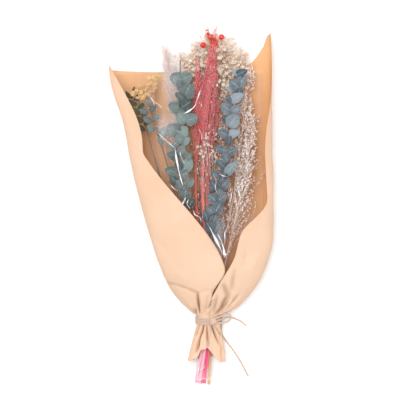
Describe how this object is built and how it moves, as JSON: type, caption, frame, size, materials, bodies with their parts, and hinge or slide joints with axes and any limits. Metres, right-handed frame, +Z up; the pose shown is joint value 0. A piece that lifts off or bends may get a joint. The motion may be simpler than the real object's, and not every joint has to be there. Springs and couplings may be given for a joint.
{
  "type": "bunch of dried flowers",
  "caption": "Tied bunch of dried eucalyptus, red broom grass, berries and fine blooms, lying down in a clear sleeve and a cone of brown kraft paper gathered at the neck with twine",
  "frame": {"origin": "middle of the bunch's bounding box on the surface it lies on, the twine's loop and free ends left out", "axes": "+Y along the bunch towards the flower heads, +Z up out of the cone's open front, +X to the right seen from above with the heads at the top"},
  "size_m": [0.233, 0.4988, 0.0618],
  "materials": {
    "kraft": "matt brown wrapping paper",
    "film": "clear glossy film",
    "jute": "natural jute twine",
    "brown_stem": "dry bark",
    "leaf": "preserved blue-green leaf, matt",
    "dark_leaf": "preserved dark green leaf",
    "cream": "dried cream flower",
    "yellow": "dried orange and cream flower",
    "white": "dried pale flower",
    "plume": "soft pale pink plume",
    "red": "dyed dried grass",
    "berry": "satin red berry on a tan stem"
  },
  "bodies": {
    "root": {"kraft_paper_wrap": "kraft", "clear_film_sleeve": "film", "twine_tie": "jute", "twine_bow_loop": "jute", "twine_short_end": "jute", "twine_long_end": "jute", "yellow_bloom": "yellow", "berry_sprig": "berry", "cream_bloom_1": "cream", "cream_bloom_2": "cream", "cream_bloom_3": "cream", "cream_bloom_4": "cream", "cream_bloom_5": "cream", "statice_1": "white", "red_broom_1": "red", "statice_2": "white", "red_broom_2": "red", "statice_3": "white", "red_broom_3": "red", "pale_plume_1": "plume", "pale_plume_2": "plume", "eucalyptus_left_stem": "brown_stem", "eucalyptus_left_leaves_1": "leaf", "eucalyptus_left_leaves_2": "leaf", "eucalyptus_left_leaves_3": "leaf", "eucalyptus_left_leaves_4": "leaf", "eucalyptus_left_leaves_5": "leaf", "eucalyptus_left_leaves_6": "leaf", "eucalyptus_left_leaves_7": "leaf", "eucalyptus_left_leaves_8": "leaf", "eucalyptus_right_stem": "brown_stem", "eucalyptus_right_leaves_1": "leaf", "eucalyptus_right_leaves_2": "leaf", "eucalyptus_right_leaves_3": "leaf", "eucalyptus_right_leaves_4": "leaf", "eucalyptus_right_leaves_5": "leaf", "eucalyptus_right_leaves_6": "leaf", "eucalyptus_right_leaves_7": "leaf", "eucalyptus_right_leaves_8": "leaf", "eucalyptus_right_leaves_9": "leaf", "eucalyptus_right_leaves_10": "leaf", "eucalyptus_side_stem": "brown_stem", "eucalyptus_side_leaves_1": "leaf", "eucalyptus_side_leaves_2": "leaf", "eucalyptus_side_leaves_3": "leaf", "ruscus_stem": "dark_leaf", "ruscus_leaves_1": "dark_leaf", "ruscus_leaves_2": "dark_leaf", "ruscus_leaves_3": "dark_leaf"}
  },
  "joints": []
}
